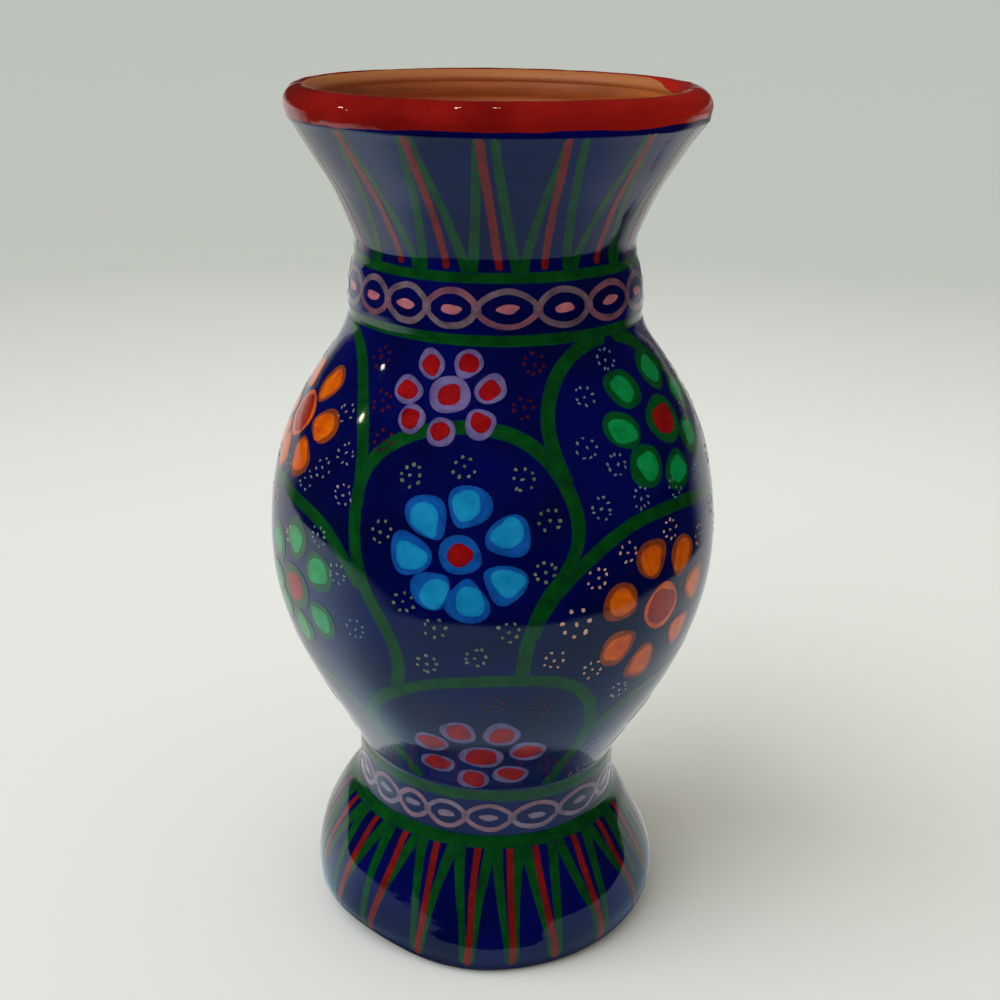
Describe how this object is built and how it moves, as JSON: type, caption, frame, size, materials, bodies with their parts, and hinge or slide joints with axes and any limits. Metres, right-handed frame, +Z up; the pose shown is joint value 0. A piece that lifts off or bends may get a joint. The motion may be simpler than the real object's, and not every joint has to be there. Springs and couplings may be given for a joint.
{
  "type": "vase",
  "caption": "Hand-painted terracotta vase with a hollow bell foot, egg-shaped body, banded collars, flared neck and rolled rim, for holding cut flowers or standing on show.",
  "frame": {"origin": "centre of the stand ring under the foot, on the surface that the vase stands on", "axes": "+Z up along the axis that the vase is turned about, from the foot to the mouth; -Y towards the viewer of the picture"},
  "size_m": [0.1248, 0.1248, 0.24],
  "materials": {
    "cobalt_enamel": "gloss dark blue enamel paint under varnish, on terracotta",
    "red_enamel": "gloss red enamel paint under varnish, on terracotta",
    "slip_clay": "matt fired clay"
  },
  "bodies": {
    "root": {"foot": "cobalt_enamel", "foot_slip": "slip_clay", "foot_collar": "cobalt_enamel", "foot_collar_slip": "slip_clay", "body": "cobalt_enamel", "neck_slip": "slip_clay", "neck_collar": "cobalt_enamel", "neck_collar_slip": "slip_clay", "neck": "cobalt_enamel", "rim_slip": "slip_clay", "rim": "red_enamel"}
  },
  "joints": []
}
